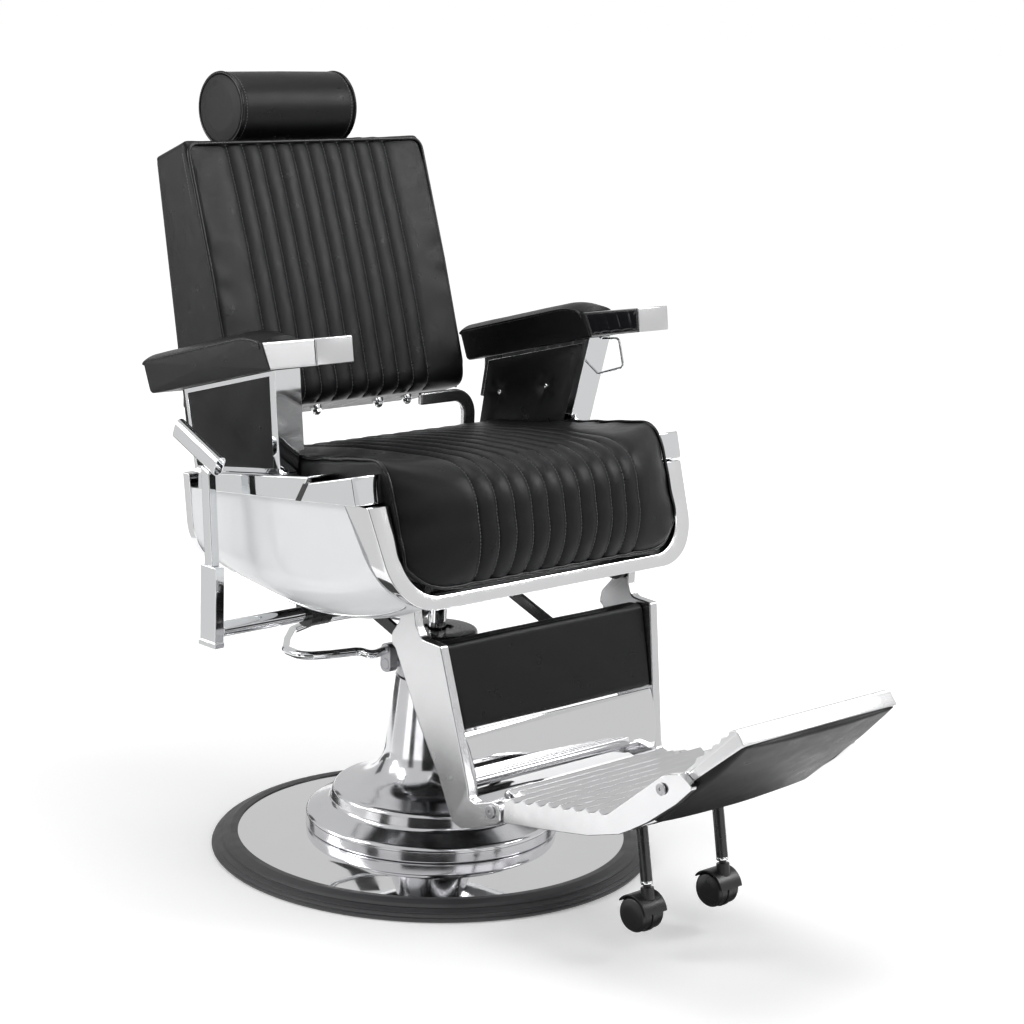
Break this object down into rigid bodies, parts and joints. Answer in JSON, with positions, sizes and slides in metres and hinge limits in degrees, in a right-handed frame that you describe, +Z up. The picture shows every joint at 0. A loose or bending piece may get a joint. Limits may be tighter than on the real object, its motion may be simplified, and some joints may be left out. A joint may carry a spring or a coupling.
{
  "type": "hydraulic barber chair",
  "caption": "Reclining barber chair on a round hydraulic pedestal, with channelled cushions, padded arms, sliding head rest and a linked leg rest with a ribbed flip-up foot rest.",
  "frame": {"origin": "centre of the pedestal on the floor, under the base plate's hub", "axes": "+Z up, -Y to the front that the sitter faces, +X to the sitter's left"},
  "size_m": [0.6895, 1.171, 1.1158],
  "materials": {
    "base_chrome": "polished chrome plate on the cast base disc",
    "ring_rubber": "black ridged moulded rubber",
    "spun_metal": "spun and polished metal with fine rings",
    "machined_steel": "ground steel",
    "black_enamel": "black semi-gloss paint",
    "chrome": "bright chrome plate",
    "grey_enamel": "pale grey gloss enamel",
    "upholstery": "black grained leather-look cover with stitching",
    "board": "board covered in black cloth",
    "cast_aluminium": "cast aluminium, satin polished",
    "mirror_plate": "mirror polished sheet",
    "caster_plastic": "black moulded plastic"
  },
  "bodies": {
    "base": {"base_plate": "base_chrome", "base_rubber_ring": "ring_rubber", "base_skirt": "spun_metal", "base_cylinder": "machined_steel"},
    "pump_head": {"pump_housing": "black_enamel", "pump_cap": "black_enamel"},
    "pump_lever": {"pump_lever_shaft": "chrome", "pump_lever_clamps": "chrome", "pump_lever_rod": "chrome"},
    "seat": {"lift_ram": "machined_steel", "seat_frame": "black_enamel", "tub_front_rim": "chrome", "tub_side_right": "grey_enamel", "tub_side_left": "grey_enamel", "tub_rear_rim": "chrome", "seat_board": "board", "seat_cushion": "upholstery", "side_rail_right": "chrome", "side_rail_left": "chrome", "rail_front_blocks": "chrome", "arm_frame_right": "chrome", "arm_frame_left": "chrome", "arm_panel_right": "upholstery", "arm_panel_left": "upholstery", "arm_pad_right": "upholstery", "arm_pad_left": "upholstery", "arm_cap_right": "chrome", "arm_cap_left": "chrome", "arm_pad_brackets": "black_enamel", "towel_hoop": "chrome", "recline_bearing": "black_enamel"},
    "recline_lever": {"recline_lever_shaft": "chrome", "recline_lever_socket": "chrome", "recline_lever_arm": "chrome", "recline_lever_grip": "chrome"},
    "back": {"back_cushion": "upholstery", "back_board": "board", "back_crank_frame": "black_enamel", "back_arm_right": "chrome", "back_arm_left": "chrome", "back_acorn_nuts": "chrome", "headrest_sleeve": "machined_steel"},
    "headrest": {"headrest_post": "machined_steel", "headrest_roll": "upholstery"},
    "leg_rest": {"leg_arm_right": "cast_aluminium", "leg_arm_left": "cast_aluminium", "leg_cross_tube": "black_enamel", "calf_pad": "upholstery", "calf_plate": "mirror_plate"},
    "links": {"link_bars": "black_enamel"},
    "footrest": {"footrest_deck": "cast_aluminium", "footrest_pivot_screws": "chrome", "flip_screws": "chrome", "caster_tubes": "black_enamel"},
    "flip_panel": {"flip_panel": "cast_aluminium", "flip_panel_pad": "upholstery"},
    "caster_right": {"caster_hood_right": "caster_plastic"},
    "caster_left": {"caster_hood_left": "caster_plastic"},
    "wheels_right": {"caster_wheels_right": "caster_plastic"},
    "wheels_left": {"caster_wheels_left": "caster_plastic"}
  },
  "joints": [
    {"name": "swivel", "type": "hinge", "parent": "base", "child": "pump_head", "pos_m": [0, 0, 0.262], "axis": [0, 0, 1], "continuous": true},
    {"name": "pump_lever", "type": "hinge", "parent": "pump_head", "child": "pump_lever", "pos_m": [0, 0.025, 0.284], "axis": [1, 0, 0], "range_deg": [-16, 0], "stiffness_Nm_per_rad": 6, "springref_deg": 34.38},
    {"name": "lift", "type": "slide", "parent": "pump_head", "child": "seat", "axis": [0, 0, 1], "range_m": [-0.03, 0.13]},
    {"name": "recline", "type": "hinge", "parent": "seat", "child": "back", "pos_m": [0, 0.19, 0.56], "axis": [-1, 0, 0], "range_deg": [0, 40]},
    {"name": "leg_swing", "type": "hinge", "parent": "seat", "child": "leg_rest", "pos_m": [0, -0.175, 0.43], "axis": [-1, 0, 0], "range_deg": [0, 40]},
    {"name": "link_pivot", "type": "hinge", "parent": "leg_rest", "child": "links", "pos_m": [0, -0.2, 0.308], "axis": [-1, 0, 0], "range_deg": [-40, 0]},
    {"name": "recline_lever", "type": "hinge", "parent": "seat", "child": "recline_lever", "pos_m": [-0.3, 0.075, 0.366], "axis": [-1, 0, 0], "range_deg": [0, 15], "stiffness_Nm_per_rad": 10, "springref_deg": -34.38},
    {"name": "headrest_height", "type": "slide", "parent": "back", "child": "headrest", "axis": [0, 0.3219, 0.9468], "range_m": [0, 0.09]},
    {"name": "footrest_fold", "type": "hinge", "parent": "leg_rest", "child": "footrest", "pos_m": [0, -0.328, 0.178], "axis": [1, 0, 0], "range_deg": [-60, 0]},
    {"name": "flip_panel_hinge", "type": "hinge", "parent": "footrest", "child": "flip_panel", "pos_m": [0, -0.611, 0.28], "axis": [-1, 0, 0], "range_deg": [0, 150]},
    {"name": "caster_swivel_right", "type": "hinge", "parent": "footrest", "child": "caster_right", "pos_m": [-0.0744, -0.5101, 0.1036], "axis": [0, 0.1816, 0.9834], "continuous": true},
    {"name": "wheel_spin_right", "type": "hinge", "parent": "caster_right", "child": "wheels_right", "pos_m": [-0.0744, -0.50304, 0.06254], "axis": [1, 0, 0], "continuous": true},
    {"name": "caster_swivel_left", "type": "hinge", "parent": "footrest", "child": "caster_left", "pos_m": [0.0744, -0.5101, 0.1036], "axis": [0, 0.1816, 0.9834], "continuous": true},
    {"name": "wheel_spin_left", "type": "hinge", "parent": "caster_left", "child": "wheels_left", "pos_m": [0.0744, -0.50304, 0.06254], "axis": [1, 0, 0], "continuous": true}
  ],
  "couplings": [
    {"joint": "leg_swing", "follows": "recline", "ratio": 1},
    {"joint": "link_pivot", "follows": "recline", "ratio": -1}
  ]
}
